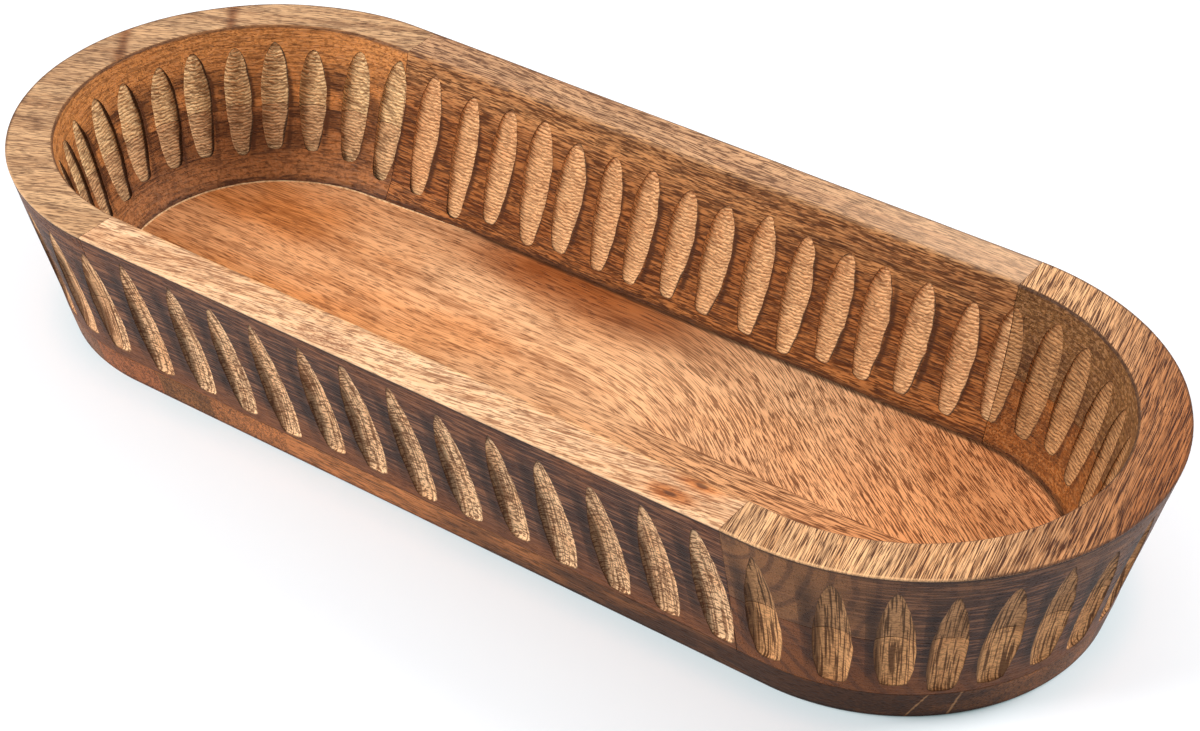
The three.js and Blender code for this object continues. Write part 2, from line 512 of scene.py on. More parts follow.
# %% Put every sweep in its place
def nudge(most_mm):
    """A random shift, up to so many millimetres either way."""
    return HAND.uniform(-most_mm, most_mm) * MM


def cut_matrix(face, run):
    """Where one sweep lies: turned to the wall's slope, sunk to its depth and sized."""
    x, turn = place_on_rim(run, RADIUS - face["inset"])
    outward = Vector((math.cos(turn), math.sin(turn), 0))
    along = Vector((-math.sin(turn), math.cos(turn), 0))
    up_slope = (Vector((0, 0, 1)) + outward * SLOPE).normalized()
    face_out = along.cross(up_slope) * face["faces"]
    on_rail = abs(x) < HALF_STRAIGHT
    kind = "rail" if on_rail else "end"
    foot = face[kind + "_foot"] + nudge(END_NUDGE_MM)
    head = face[kind + "_head"] + nudge(END_NUDGE_MM)
    head -= face["head_drop"] * x / HALF_STRAIGHT if on_rail else 0.0
    slant = face["slant"] * (1.0 if on_rail else END_SLANT) + nudge(SLANT_NUDGE_MM)
    axis = (up_slope * (head - foot) + along * slant).normalized()
    middle = (foot + head) / 2
    centre = Vector((x, 0, middle)) + outward * reach(middle, face["inset"])
    depth = face["depth"] / (0.5 * ROUNDNESS) * HAND.uniform(0.9, 1.1)
    width = face[kind + "_width"] * HAND.uniform(0.93, 1.07)
    sizes = Matrix.Diagonal((depth, width, (head - foot) / up_slope.z, 1))
    across = axis.cross(face_out)
    turned = Matrix((face_out, across, axis)).transposed().to_4x4()
    return Matrix.Translation(centre) @ turned @ sizes


def lay_out(face, sweep, name):
    """One sweep for each cut of a face of the wall."""
    lap = lap_lengths[name]
    cuts = []
    for i in range(face["count"]):
        even = face["start"] + i * lap / face["count"]
        run = slipped(even, face) + nudge(PLACE_NUDGE_MM)
        cut = copy_of(sweep, f"{name}_cut_{i}")
        cut.data.transform(cut_matrix(face, run))
        luck = (HAND.random(), HAND.random())
        for entry in cut.data.uv_layers[LUCK_MAP].data:
            entry.uv = luck
        cuts.append(cut)
    return cuts


outside_cuts = lay_out(OUTSIDE, outside_sweep, "outside")
inside_cuts = lay_out(INSIDE, inside_sweep, "inside")
discard(outside_sweep, inside_sweep)
print("cuts:", len(outside_cuts), "outside and", len(inside_cuts), "inside")

# %% [markdown]
# Shaders are easier to read as sums. This small class wraps a node's output socket, and Python's
# operators on it add Math nodes. Its add method makes any other node: first the node's own
# settings, then its sockets.

# %% A socket that can be used in sums
class Flow:
    """A value, colour or vector on its way between shader nodes."""

    def __init__(self, tree, socket=None):
        self.tree = tree
        self.socket = socket

    def add(self, kind, settings, sockets, output=0):
        """Adds a node with its settings and the values or links of its sockets."""
        node = self.tree.nodes.new(kind)
        for name, value in settings.items():
            setattr(node, name, value)
        for key, value in sockets.items():
            if isinstance(value, Flow):
                self.tree.links.new(value.socket, node.inputs[key])
            else:
                node.inputs[key].default_value = value
        return Flow(self.tree, node.outputs[output] if node.outputs else None)

    def other(self, output):
        """Another output of the node that this value comes from."""
        return Flow(self.tree, self.socket.node.outputs[output])

    def math(self, operation, first, second=0.0):
        return self.add("ShaderNodeMath", {"operation": operation}, {0: first, 1: second})

    def __add__(self, other):
        return self.math("ADD", self, other)

    __radd__ = __add__

    def __mul__(self, other):
        return self.math("MULTIPLY", self, other)

    __rmul__ = __mul__

    def __sub__(self, other):
        return self.math("SUBTRACT", self, other)

    def __rsub__(self, other):
        return self.math("SUBTRACT", other, self)

    def __truediv__(self, other):
        return self.math("DIVIDE", self, other)

    def __pow__(self, other):
        return self.math("POWER", self, other)

    def __abs__(self):
        return self.math("ABSOLUTE", self)

    def at_least(self, low):
        return self.math("MAXIMUM", self, low)

    def at_most(self, high):
        return self.math("MINIMUM", self, high)

    def clamp(self, low=0.0, high=1.0):
        return self.at_least(low).at_most(high)

    def smooth(self, low, high):
        """0 below low, 1 above high, and a soft step between them."""
        settings = {"interpolation_type": "SMOOTHSTEP"}
        sockets = {"Value": self, "From Min": low, "From Max": high}
        return self.add("ShaderNodeMapRange", settings, sockets)

    def within(self, low, high, soft):
        """1 between two values and 0 outside them, with soft edges."""
        return self.smooth(low - soft, low + soft) * (1 - self.smooth(high - soft, high + soft))


print("besides sums:", [name for name in vars(Flow) if not name.startswith("__")])

# %% [markdown]
# The finishes below need only a few kinds of nodes over and over: clouds, scattered points, and
# mixes of colours. Each gets a short name here. Colours are given in the usual 0 to 255 and
# turned into what the shader works with.

# %% Patterns and colours
def vector(x, y, z):
    """Three values as a vector, the first of them a socket."""
    return x.add("ShaderNodeCombineXYZ", {}, {0: x, 1: y, 2: z})


def noise(x, y, z, detail=2.0, roughness=0.5, curl=0.0):
    """A cloud of values about 0.5 in a space that is already scaled; curl makes its lines wavy."""
    sockets = {"Vector": vector(x, y, z), "Scale": 1.0}
    sockets |= {"Detail": detail, "Roughness": roughness, "Distortion": curl}
    return x.add("ShaderNodeTexNoise", {"noise_dimensions": "3D"}, sockets)


def scatter(x, y, z):
    """Scattered points: the distance to the nearest one, and a random value that belongs to it."""
    sockets = {"Vector": vector(x, y, z), "Scale": 1.0}
    distance = x.add("ShaderNodeTexVoronoi", {"feature": "F1"}, sockets, "Distance")
    chance = x.add("ShaderNodeSeparateColor", {}, {0: distance.other("Color")})
    return distance, chance


def mix(how, part, first, second):
    """Two colours mixed in a given way; any of the three may be a socket."""
    flow = next(value for value in (part, first, second) if isinstance(value, Flow))
    settings = {"data_type": "RGBA", "blend_type": how}
    return flow.add("ShaderNodeMix", settings, {0: part, 6: first, 7: second}, 2)


def blend(part, first, second):
    """A colour between two colours."""
    return mix("MIX", part, first, second)


def tint(colour, by, part=1.0):
    """A colour multiplied by another, in part."""
    return mix("MULTIPLY", part, colour, by)


def srgb(red, green, blue):
    """A colour given in 0 to 255, as the shader wants it."""
    parts = [c / 255 for c in (red, green, blue)]
    return (*[c / 12.92 if c <= 0.04045 else ((c + 0.055) / 1.055) ** 2.4 for c in parts], 1.0)


print("mid grey:", [round(c, 3) for c in srgb(128, 128, 128)])

# %% [markdown]
# Mango wood is tan, with broad bands where the growth rings are cut, fine streaks along the fibres,
# and pores that show as short dark dashes along the grain and as dots on end grain. Every board has
# its own tones, grain direction and heart, which is the middle of its rings.

# %% Choose the woods
def wood(pale, tan, brown, pore, grain, heart, seed, fine=0.5, long=6.0, streak=0.7, pores=0.4):
    """One board's wood: tones, the grain's turn in degrees, the heart in mm, and its marks."""
    tones = {"pale": srgb(*pale), "tan": srgb(*tan), "brown": srgb(*brown), "pore": srgb(*pore)}
    marks = {"fine": fine, "long": long, "streak": streak, "pores": pores}
    return {**tones, **marks, "grain": grain, "heart": heart, "seed": seed}


WOODS = {
    "front_rail": wood(
        (246, 200, 156), (224, 170, 124), (128, 78, 48), (104, 62, 38),
        grain=8.0, heart=(-130.0, 20.0), seed=3.1),
    "back_rail": wood(
        (208, 160, 118), (174, 124, 88), (86, 52, 32), (78, 46, 30),
        grain=0.0, heart=(20.0, 130.0), seed=8.4, streak=0.85),
    "left_end_upper_board": wood(
        (212, 168, 124), (178, 132, 92), (92, 60, 40), (74, 48, 32),
        grain=23.0, heart=(-40.0, -60.0), seed=5.7),
    "left_end_lower_board": wood(
        (194, 150, 108), (156, 112, 76), (90, 60, 40), (60, 40, 28),
        grain=14.0, heart=(-90.0, 120.0), seed=6.3, fine=0.55, streak=0.65),
    "right_end_upper_board": wood(
        (244, 190, 138), (210, 152, 102), (76, 42, 25), (66, 36, 22),
        grain=102.0, heart=(-95.0, 62.0), seed=1.9, fine=0.33, long=13.0, streak=0.95, pores=0.2),
    "right_end_lower_board": wood(
        (230, 174, 114), (198, 138, 82), (112, 68, 38), (70, 40, 24),
        grain=97.0, heart=(-60.0, -30.0), seed=4.6, fine=0.55, long=8.0),
    "floor": wood(
        (252, 196, 146), (230, 164, 112), (132, 76, 40), (108, 60, 32),
        grain=0.0, heart=(30.0, -140.0), seed=2.3, fine=0.45, long=9.0, streak=0.5, pores=0.55),
}
print("woods:", list(WOODS))

# %% [markdown]
# A picture of wood would be stretched at the edges of a board. A pattern in space does bands,
# streaks and pores at once: it is stretched along the grain, so each face of a board cuts it as the
# saw cuts the wood.

# %% Grow the wood
def start_finish(name):
    """An empty material and the place on the bowl, in millimetres, as three values."""
    material = bpy.data.materials.new(name)
    material.use_nodes = True
    tree = material.node_tree
    tree.nodes.clear()
    place = Flow(tree).add("ShaderNodeTexCoord", {}, {}, "Object")
    split = place.add("ShaderNodeSeparateXYZ", {}, {0: place})
    return material, [split.other(axis) * (1 / MM) for axis in range(3)]


def to_grain(x, y, wood):
    """Turns the place so that the first value runs along the grain."""
    turn = math.radians(wood["grain"])
    along = x * math.cos(turn) + y * math.sin(turn)
    across = y * math.cos(turn) - x * math.sin(turn)
    return along, across


def grow(along, across, up, wood, pore_length=3.6, pore_gap=0.75):
    """The wood's colour, its streaks and pores, and how far from the heart each place lies."""
    seed = wood["seed"]
    wander = (noise(along * 0.012 + seed, across * 0.03, up * 0.03, 1.0) - 0.5) * 9.0
    side = across + wander
    height = up + wander * 0.6
    ring_x = side - wood["heart"][0]
    ring_z = height - wood["heart"][1]
    rings = (ring_x * ring_x + ring_z * ring_z) ** 0.5
    bands = noise(rings * 0.17, along * 0.004 + seed, 0.0, 3.0, 0.65).smooth(0.36, 0.66)
    fine = wood["fine"]
    streaks = noise(along / wood["long"] + seed, side / fine, height / fine, 1.5, 0.6, 0.2)
    sheaves = noise(along / 34.0 + seed, side / 3.4, height / 3.4, 2.0)
    distance, chance = scatter(along / pore_length + seed, side / pore_gap, height / pore_gap)
    pores = (1 - distance.smooth(0.14, 0.42)) * chance.smooth(0.0, 0.4)
    mottle = noise(along * 0.02 + seed, side * 0.07, height * 0.07, 2.0)
    colour = blend(bands, wood["pale"], wood["tan"])
    colour = blend(mottle.smooth(0.48, 0.78) * 0.4, colour, wood["brown"])
    colour = blend(sheaves.smooth(0.44, 0.70) * 0.45, colour, wood["brown"])
    colour = blend((1 - streaks.smooth(0.36, 0.46)) * 0.6, colour, wood["pale"])
    thin = 0.55 - 0.06 * wood["streak"]
    colour = blend(streaks.smooth(thin, thin + 0.07) * wood["streak"], colour, wood["brown"])
    colour = blend(pores * wood["pores"], colour, wood["pore"])
    return {"colour": colour, "pores": pores, "streaks": streaks, "rings": rings}


print("grain, degrees:", {name: board["grain"] for name, board in WOODS.items()})

# %% [markdown]
# Every finish ends alike: a waxed surface with little gloss, whose grain stands up by parts of a
# millimetre. That is too fine for a mesh, so a Bump node does it.

# %% Wax the wood
WAX_GLOSS = 0.12


def finish(material, colour, roughness, height, relief):
    """Ends a material: a waxed wood surface with its grain standing up by some millimetres."""
    raised = {"Strength": 1.0, "Distance": relief * MM, "Height": height}
    bump = colour.add("ShaderNodeBump", {}, raised)
    sockets = {"Base Color": colour, "Roughness": roughness, "Normal": bump}
    waxed = colour.add("ShaderNodeBsdfPrincipled", {}, sockets | {"Specular IOR Level": WAX_GLOSS})
    colour.add("ShaderNodeOutputMaterial", {}, {"Surface": waxed})
    return material


print("gloss of the wax:", WAX_GLOSS)

# %% [markdown]
# Several finishes depend on where a point lies on the wall: how far out from the middle of its
# thickness, how far round the rim, and how far past the nearest cut. These are the sums that laid
# out the cuts, run backwards.

# %% Find the place on the wall
MM_RADIUS = RADIUS / MM
MM_HEIGHT = HEIGHT / MM
MM_STRAIGHT = HALF_STRAIGHT / MM
MM_WALL = WALL / MM
MM_BASE = BASE / MM
CUT_LENGTH = 42.0
CUT_MIDDLE = 35.0


def out_of_middle(x, y):
    """A point's distance from the bowl's middle line."""
    beyond = (abs(x) - MM_STRAIGHT).at_least(0.0)
    return (beyond * beyond + y * y) ** 0.5


def depth_in_wall(x, y, z):
    """How far out a point lies from the middle of the wall."""
    return out_of_middle(x, y) - (MM_RADIUS - MM_WALL / 2) + (MM_HEIGHT - z) * SLOPE


def run_along(x, y, name, face):
    """The way round the rim that the cuts of a face were laid out on, for one board."""
    radius = MM_RADIUS - face["inset"] / MM
    if name == "front_rail":
        return x
    if name == "back_rail":
        return 2 * MM_STRAIGHT + math.pi * radius - x
    side = 1 if name.startswith("right") else -1
    outward = x * side - MM_STRAIGHT
    turn = y.math("ARCTAN2", y * side, outward.at_least(0.0))
    arm = outward.at_most(0.0) * y.math("SIGN", y * side)
    start = MM_STRAIGHT if side > 0 else 3 * MM_STRAIGHT + math.pi * radius
    return turn * radius - arm + (start + math.pi * radius / 2)


def pitch_of(face):
    """How far apart the cuts of a face are along the rim."""
    return (4 * MM_STRAIGHT + 2 * math.pi * (MM_RADIUS - face["inset"] / MM)) / face["count"]


def past_cut(run, z, face, on_rail):
    """How far a point lies past the nearest cut of a face, on the way round the rim."""
    pitch = pitch_of(face)
    begin, full, fade, gone = (at / MM for at in face["slip_span"])
    late = ((run - begin) / (full - begin)).at_most((gone - run) / (gone - fade)).clamp()
    run = run - late * (face["slip"] / MM)
    lean = face["slant"] / MM * (1.0 if on_rail else END_SLANT) / CUT_LENGTH
    steps = (run - face["start"] / MM - (z - CUT_MIDDLE) * lean) / pitch + 0.5
    return (steps.math("FRACT", steps) - 0.5) * pitch


def half_cut(z):
    """About half the width of a cut of the inner face at a height."""
    low = ((CUT_MIDDLE - z) / (CUT_LENGTH / 2)).clamp()
    high = ((z - CUT_MIDDLE) / (CUT_LENGTH / 2)).clamp()
    return (1 - low * low * 0.45 - high ** 3.0 * 0.9) * 4.9


print("pitch of the cuts:", [round(pitch_of(face), 2) for face in (OUTSIDE, INSIDE)], "mm")

# %% [markdown]
# The flats of the wall are scorched. Outside they are burnt almost black, with the grain still
# showing as paler lines, browner near the base, and darkest just before each cut. The first part of
# the right end is burnt less, so its growth rings show. All numbers are heights and distances in
# millimetres.

# %% Burn the flats outside
BURNT_AND_SHADE = srgb(62, 41, 34)
CHARRED = srgb(32, 22, 19)
STREAK = srgb(136, 92, 66)
SMOKED = srgb(160, 124, 98)
LOW_GLOW = srgb(116, 70, 44)
RING_TURN = 2 * math.pi / 6.0
BROWN_FOOT = (13.0, 27.0)
WORN_TOP = (46.0, 60.0)
BEFORE_CUT = (-8.6, -4.0)
CUT_HEIGHTS = (18.0, 54.0)


def burnt_outside(grown, place, name, look):
    """The colour of the flats on the outer face."""
    x, y, z = place
    run = run_along(x, y, name, OUTSIDE)
    lines = noise(run / 16.0, z / 0.9, WOODS[name]["seed"], 2.0, 0.6, 0.2)
    patches = noise(run / 19.0, z / 12.0, WOODS[name]["seed"], 3.0) - 0.5
    low = 1 - z.smooth(*BROWN_FOOT)
    burn = look["outside"] - low * 0.35 - z.smooth(*WORN_TOP) * 0.2 - patches * 1.3
    under = tint(grown["colour"], SMOKED)
    if "bare_until" in look:
        bare = 1 - x.smooth(*look["bare_until"])
        burn = burn - bare * 0.6
        rings = grown["rings"].math("SINE", grown["rings"] * RING_TURN + patches * 5.0)
        under = blend(0.6, under, look["smoke"])
        under = blend(rings.smooth(0.3, 0.9) * 0.5, under, BURNT_AND_SHADE)
    lined = blend(lines.smooth(0.50, 0.60) * 0.8, BURNT_AND_SHADE, STREAK)
    lined = blend(low * 0.5, lined, LOW_GLOW)
    colour = blend(burn.clamp(0.05, 0.97), under, lined)
    # A darker band on the flat just before each cut.
    before = past_cut(run, z, OUTSIDE, "rail" in name) + patches * 3.0
    dark_before_cut = before.within(*BEFORE_CUT, 2.2) * z.within(*CUT_HEIGHTS, 7.0)
    colour = blend(dark_before_cut * 0.7, colour, CHARRED)
    under_rim = z.smooth(MM_HEIGHT - 2.2, MM_HEIGHT - 0.9)
    return blend(under_rim * 0.85, colour, CHARRED), lines


print("burnt:", [round(part, 3) for part in BURNT_AND_SHADE[:3]])

# %% [markdown]
# Inside, the flats are stained brown and paler towards the rim. Just past each cut they have a dark
# stripe that is partly burn and partly painted shade; at the left end they are burnt all over at
# mid-height, and painted shade darkens their foot where they meet the floor. The ends also have a
# glaze, which is speckled where it has worn through.

# %% Stain the flats inside
SCORCH_AND_SHADE = srgb(74, 44, 28)
PALE_TOP = (42.0, 60.0)
BURN_STARTS = (15.0, 24.0)
BURN_STOPS = (43.0, 56.0)
PAST_CUT = (-0.6, 1.2)


def stained_inside(grown, place, name, look):
    """The colour of the flats on the inner face."""
    x, y, z = place
    run = run_along(x, y, name, INSIDE)
    lines = noise(run / 8.0, z / 0.7, WOODS[name]["seed"], 2.0, 0.6, 0.5)
    patches = noise(run / 17.0, z / 9.0, WOODS[name]["seed"] + 4.0, 3.0)
    low, high = (tint(grown["colour"], look[stain]) for stain in ("stain", "top_stain"))
    colour = blend(z.smooth(*PALE_TOP), low, high)
    if "glaze" in look:
        speckle = noise(run / 1.6, z / 0.9, WOODS[name]["seed"] + 9.0, 2.0, 0.6, 0.5)
        colour = blend(0.55, colour, look["glaze"])
        bright = tint(WOODS[name]["pale"], colour, 0.45)
        colour = blend((1 - speckle.smooth(0.40, 0.50)) * 0.35, colour, bright)
        colour = blend(speckle.smooth(0.52, 0.60) * 0.4, colour, SCORCH_AND_SHADE)
    middle = z.smooth(*BURN_STARTS) * (1 - z.smooth(*BURN_STOPS))
    # A dark stripe just past each cut's right edge: partly burn and partly painted shade.
    past = past_cut(run, z, INSIDE, "rail" in name) * -1.0
    stripe_burn_and_shade = (past - half_cut(z)).within(*PAST_CUT, 0.8) * look["stripe_burn_and_shade"]
    burn = middle * (patches.smooth(0.35, 0.6) * look["inside"] + stripe_burn_and_shade)
    burn = burn + lines.smooth(0.50, 0.58) * look["lines"]
    # Painted shade: the foot of the inner face is darkened where it meets the floor.
    foot = (1 - z.smooth(MM_BASE + 0.4, MM_BASE + 2.6)) * look["foot"]
    return blend((burn + foot).clamp(0.0, 0.93), colour, SCORCH_AND_SHADE), lines


print("scorched:", [round(part, 3) for part in SCORCH_AND_SHADE[:3]])

# %% [markdown]
# The rim is left bare. A pale line along its outer edge in front is partly wear and partly painted
# highlight, a dark line runs along its outer edge at the back, and painted shade darkens its inner
# edge. The outer face, the inner face and the rim are one material per board, blended by where a
# point lies, because the wood runs through all three.

# %% Join the faces and the rim
IN_FRONT = (-70.0, -50.0)
SCAR_SOFT = 14.0


def scorched_wall(name, look):
    """The finish of one wall board, apart from its cuts."""
    wood = WOODS[name]
    material, place = start_finish(name + "_wood")
    x, y, z = place
    grown = grow(*to_grain(x, y, wood), z, wood)
    past_middle = depth_in_wall(x, y, z)
    outside = past_middle.smooth(-1.0, 1.0)
    outside_colour, outside_lines = burnt_outside(grown, place, name, look)
    inside_colour, inside_lines = stained_inside(grown, place, name, look)
    wall = blend(outside, inside_colour, outside_colour)
    lines = outside_lines * outside + inside_lines * (1 - outside)

    in_from_edge = (MM_WALL / 2 - abs(past_middle)) - (MM_HEIGHT - z)
    worn = look["worn"] * (1 - outside)
    rim = ((in_from_edge + outside * 0.9 + worn * 0.5) / (worn + 0.5)).smooth(0.2, 1.2)
    # Painted shade along the rim's inner edge, where the top turns down into the bowl; each board's
    # "edge" value sets its strength.
    inner_edge_shade = in_from_edge.within(-0.9, 0.4, 0.4) * (1 - outside)
    outer_line = in_from_edge.within(-0.5, 0.7, 0.4) * outside
    in_front = 1 - y.smooth(*IN_FRONT)
    bare = grown["colour"] if "rim" not in look else look["rim"](grown["colour"], place)
    colour = blend(rim, wall, bare)
    colour = blend(inner_edge_shade * look["edge"], colour, BURNT_AND_SHADE)
    # Along the outer edge in front: a pale line, partly wear and partly painted highlight.
    colour = blend(outer_line * in_front * 0.5, colour, wood["pale"])
    colour = blend(outer_line * (1 - in_front) * 0.75, colour, SCORCH_AND_SHADE)
    height = grown["streaks"] * 0.5 - grown["pores"] * 0.8 + lines * 0.5
    if "scar" in look:
        reach_x, reach_in = look["scar"]
        feathers = noise(x / 9.0 - z, (y + z) / 0.8, wood["seed"], 2.0, 0.6, 0.6)
        scar = x.within(*reach_x, SCAR_SOFT) * in_from_edge.within(*reach_in, 2.0)
        colour = blend(scar * feathers.smooth(0.42, 0.58) * 0.75, colour, SCORCH_AND_SHADE)
    return finish(material, colour, 0.48 - rim * 0.04 + grown["pores"] * 0.15, height, 0.3)


print("the front of the rim ends at y", IN_FRONT, "mm")

# %% [markdown]
# A few marks on the rim are the wood's own: two small knots and a curly patch on the front rail, a
# feathery dark streak just inside the back rail, which is paler towards the right, two dark bands
# across the left end, and a finely lined right end that darkens towards its tip. They are placed one
# by one.

# %% Mark the rim
KNOTS = ((93.6, -77.0), (98.7, -69.1))
SWIRL = (-27.0, -77.5)
BAND_TURN = math.radians(36.0)
BANDS = (-114.0, -149.6)
BAND_HALF = 1.8
KNOT = srgb(84, 50, 34)
KNOT_HALO = srgb(232, 190, 152)
CURL = srgb(132, 78, 50)
PALE_RIM = srgb(246, 206, 168)
BAND = srgb(190, 164, 146)
DARK_TIP = srgb(182, 150, 126)


def oval(x, y, centre, length, width):
    """The squared distance from a centre, counted in an oval's half length and half width."""
    along = (x - centre[0]) / length
    across = (y - centre[1]) / width
    return along * along + across * across


def knotted(colour, place):
    """The front rail's rim, with its two knots and its curly patch."""
    x, y, _ = place
    for knot in KNOTS:
        far = oval(x, y, knot, 3.2, 1.3) ** 0.5
        colour = tint(colour, KNOT_HALO, 1 - far.smooth(0.8, 3.8))
        colour = blend((1 - far.smooth(0.35, 1.0)) * 0.85, colour, KNOT)
    curls = noise(x / 2.6, y / 0.9, 0.5, 2.0, 0.6, 1.6)
    near = 1 - oval(x, y, SWIRL, 13.0, 4.5).smooth(0.2, 1.2)
    return blend(near * (curls.smooth(0.47, 0.55) * 0.55 + 0.12), colour, CURL)


def faded(colour, place):
    """The back rail's rim, paler towards the right."""
    return blend(place[0].smooth(10.0, 110.0) * 0.3, colour, PALE_RIM)


def banded(colour, place):
    """The left end's rim, with dark bands across it."""
    x, y, z = place
    wander = noise(x * 0.15, y * 0.15, z * 0.15) * 3.0 - 1.5
    over = x * math.cos(BAND_TURN) + y * math.sin(BAND_TURN) + wander
    for band in BANDS:
        dark = over.within(band - BAND_HALF, band + BAND_HALF, BAND_HALF)
        colour = tint(colour, BAND, dark * y.smooth(-4.0, 4.0))
    return colour


def darkened(colour, place):
    """The right end's rim, finely lined, and darker and redder towards its tip."""
    x, y, _ = place
    wood = WOODS["right_end_upper_board"]
    along, across = to_grain(x, y, wood)
    lines = noise(along / 12.0, across / 0.42, wood["seed"], 1.5, 0.6, 0.3)
    colour = blend((1 - lines.smooth(0.40, 0.47)) * 0.45, colour, wood["pale"])
    colour = blend(lines.smooth(0.52, 0.58) * 0.55, colour, wood["brown"])
    tip = (x + y * 0.25).smooth(150.0, 204.0)
    return tint(colour, DARK_TIP, tip)


print("marks on the rim:", len(KNOTS), "knots and", len(BANDS), "bands")

# %% [markdown]
# Each wall board has its own mix: how far its faces are burnt or stained, how strong the stripes
# and lines on them are, and what its rim shows. What boards have in common is written once.

# %% Finish the wall boards
RAIL = {"outside": 1.0, "inside": 0.2, "lines": 0.6, "edge": 0.15, "worn": 3.0,
        "stain": srgb(230, 194, 150), "top_stain": srgb(255, 240, 212)}
UPPER = {"foot": 0.0, "edge": 0.7, "worn": 0.0}
LOWER = {"foot": 0.7, "edge": 0.0, "worn": 0.0}
LOOKS = {
    "front_rail": RAIL | {"stripe_burn_and_shade": 0.8, "foot": 0.6, "rim": knotted},
    "back_rail": RAIL | {
        "stripe_burn_and_shade": 0.85, "foot": 0.8, "rim": faded, "scar": ((-16.0, 36.0), (-4.0, -1.0))},
    "left_end_upper_board": UPPER | {
        "outside": 0.85, "inside": 0.75, "stripe_burn_and_shade": 0.7, "lines": 0.45, "glaze": srgb(226, 148, 80),
        "stain": srgb(222, 180, 138), "top_stain": srgb(255, 230, 190), "rim": banded},
    "left_end_lower_board": LOWER | {
        "outside": 0.8, "inside": 0.6, "stripe_burn_and_shade": 0.45, "lines": 0.5, "glaze": srgb(182, 120, 72),
        "stain": srgb(240, 196, 152), "top_stain": srgb(240, 196, 152)},
    "right_end_upper_board": UPPER | {
        "outside": 0.95, "inside": 0.35, "stripe_burn_and_shade": 0.5, "lines": 0.5, "glaze": srgb(132, 94, 56),
        "stain": srgb(144, 126, 94), "top_stain": srgb(150, 132, 98), "rim": darkened,
        "smoke": srgb(142, 102, 68), "bare_until": (134.0, 172.0)},
    "right_end_lower_board": LOWER | {
        "outside": 0.85, "inside": 0.3, "stripe_burn_and_shade": 0.5, "lines": 0.35, "glaze": srgb(148, 90, 44),
        "stain": srgb(206, 164, 116), "top_stain": srgb(160, 132, 96),
        "smoke": srgb(122, 76, 48), "bare_until": (128.0, 160.0)},
}
WALL_FINISH = {name: scorched_wall(name, look) for name, look in LOOKS.items()}
print("wall finishes:", list(WALL_FINISH))

# %% [markdown]
# Inside a cut the tool has gone through the burnt skin to bare wood, paler than anything else on
# the bowl. Each board has its own tones there, outside and inside. The two maps that came with the
# sweep say where on its cut a point lies, and how one cut differs from the next.

# %% Choose the tones of bare wood
def read_map(x, name):
    """The two values of one of a cut's maps."""
    spread = x.add("ShaderNodeUVMap", {"uv_map": name}, {})
    first = x.add("ShaderNodeSeparateXYZ", {}, {0: spread})
    return first, first.other(1)


RAIL_OUTSIDE = ((255, 212, 164), (244, 182, 128), (100, 57, 34))
RAIL_INSIDE = ((253, 201, 146), (234, 172, 118), (112, 62, 34))
CUT_TONES = {
    ("front_rail", "outside"): RAIL_OUTSIDE,
    ("back_rail", "outside"): RAIL_OUTSIDE,
    ("left_end_upper_board", "outside"): ((240, 192, 144), (214, 160, 112), (112, 70, 44)),
    ("left_end_lower_board", "outside"): ((240, 188, 140), (214, 156, 108), (112, 70, 44)),
    ("right_end_upper_board", "outside"): ((200, 150, 104), (160, 114, 76), (62, 40, 26)),
    ("right_end_lower_board", "outside"): ((232, 174, 118), (200, 140, 90), (74, 44, 28)),
    ("front_rail", "inside"): RAIL_INSIDE,
    ("back_rail", "inside"): RAIL_INSIDE,
    ("left_end_upper_board", "inside"): ((255, 216, 160), (236, 186, 130), (108, 70, 42)),
    ("left_end_lower_board", "inside"): ((234, 188, 138), (206, 156, 110), (100, 66, 42)),
    ("right_end_upper_board", "inside"): ((206, 154, 104), (172, 124, 80), (74, 48, 30)),
    ("right_end_lower_board", "inside"): ((212, 156, 104), (180, 126, 78), (80, 50, 30)),
}
print("bare woods:", len(CUT_TONES))

# %% [markdown]
# Outside, the gouge has left lines down the cut and torn the fibres here and there. Soot and
# painted shade darken the left flank and the tip, and the border keeps a thin scorched line.

# %% Lay bare the cuts outside
SOOT_AND_SHADE = srgb(60, 38, 27)


def outer_cut(name, stipple, lined):
    """The cuts outside: tool lines down the cut, torn fibres, and burning and painted shade on the left
    flank.
    """
    pale, tan, brown = (srgb(*tone) for tone in CUT_TONES[name, "outside"])
    material, (x, y, z) = start_finish(name + "_outside_cut")
    over, up_cut = read_map(x, CUT_MAP)
    luck, second = read_map(x, LUCK_MAP)
    run = run_along(x, y, name, OUTSIDE)
    below = MM_WALL / 2 - depth_in_wall(x, y, z)
    tool_lines = noise(over * 20.0 + luck * 40.0, up_cut * 2.5 + luck * 40.0, 0.0, 1.0, 0.6)
    torn = noise(run / 1.6, z / 0.6, luck * 9.0, 1.5, 0.6, 0.5)
    clouds = noise(run / 5.0, z / 9.0, luck * 9.0, 2.0)
    colour = blend(second * 0.4 + clouds.smooth(0.4, 0.7) * 0.4, pale, tan)
    colour = blend(tool_lines.smooth(0.50, 0.58) * lined, colour, brown)
    colour = blend(torn.smooth(0.49, 0.55) * stipple, colour, brown)
    wobble = (torn - 0.5) * 0.6 + (tool_lines - 0.5) * 1.0
    # Partly real burning and partly painted shade: the left flank, which faces away from the light, is
    # darkened.
    soot_and_shade = 1 - (over + wobble * 0.35).smooth(0.06, 0.22)
    # Partly real burning and partly painted shade: the tip, whose end faces downward, is darkened.
    tip = up_cut.smooth(0.84, 1.0) * 0.4
    border = (1 - (below + wobble * 0.7).smooth(0.15, 0.55)) * 0.8
    colour = blend((soot_and_shade * 0.75 + tip + border).clamp(0.0, 0.92), colour, SOOT_AND_SHADE)
    height = tool_lines * -0.8 - torn * stipple
    return finish(material, colour, 0.6 + torn * 0.1, height, 0.7)


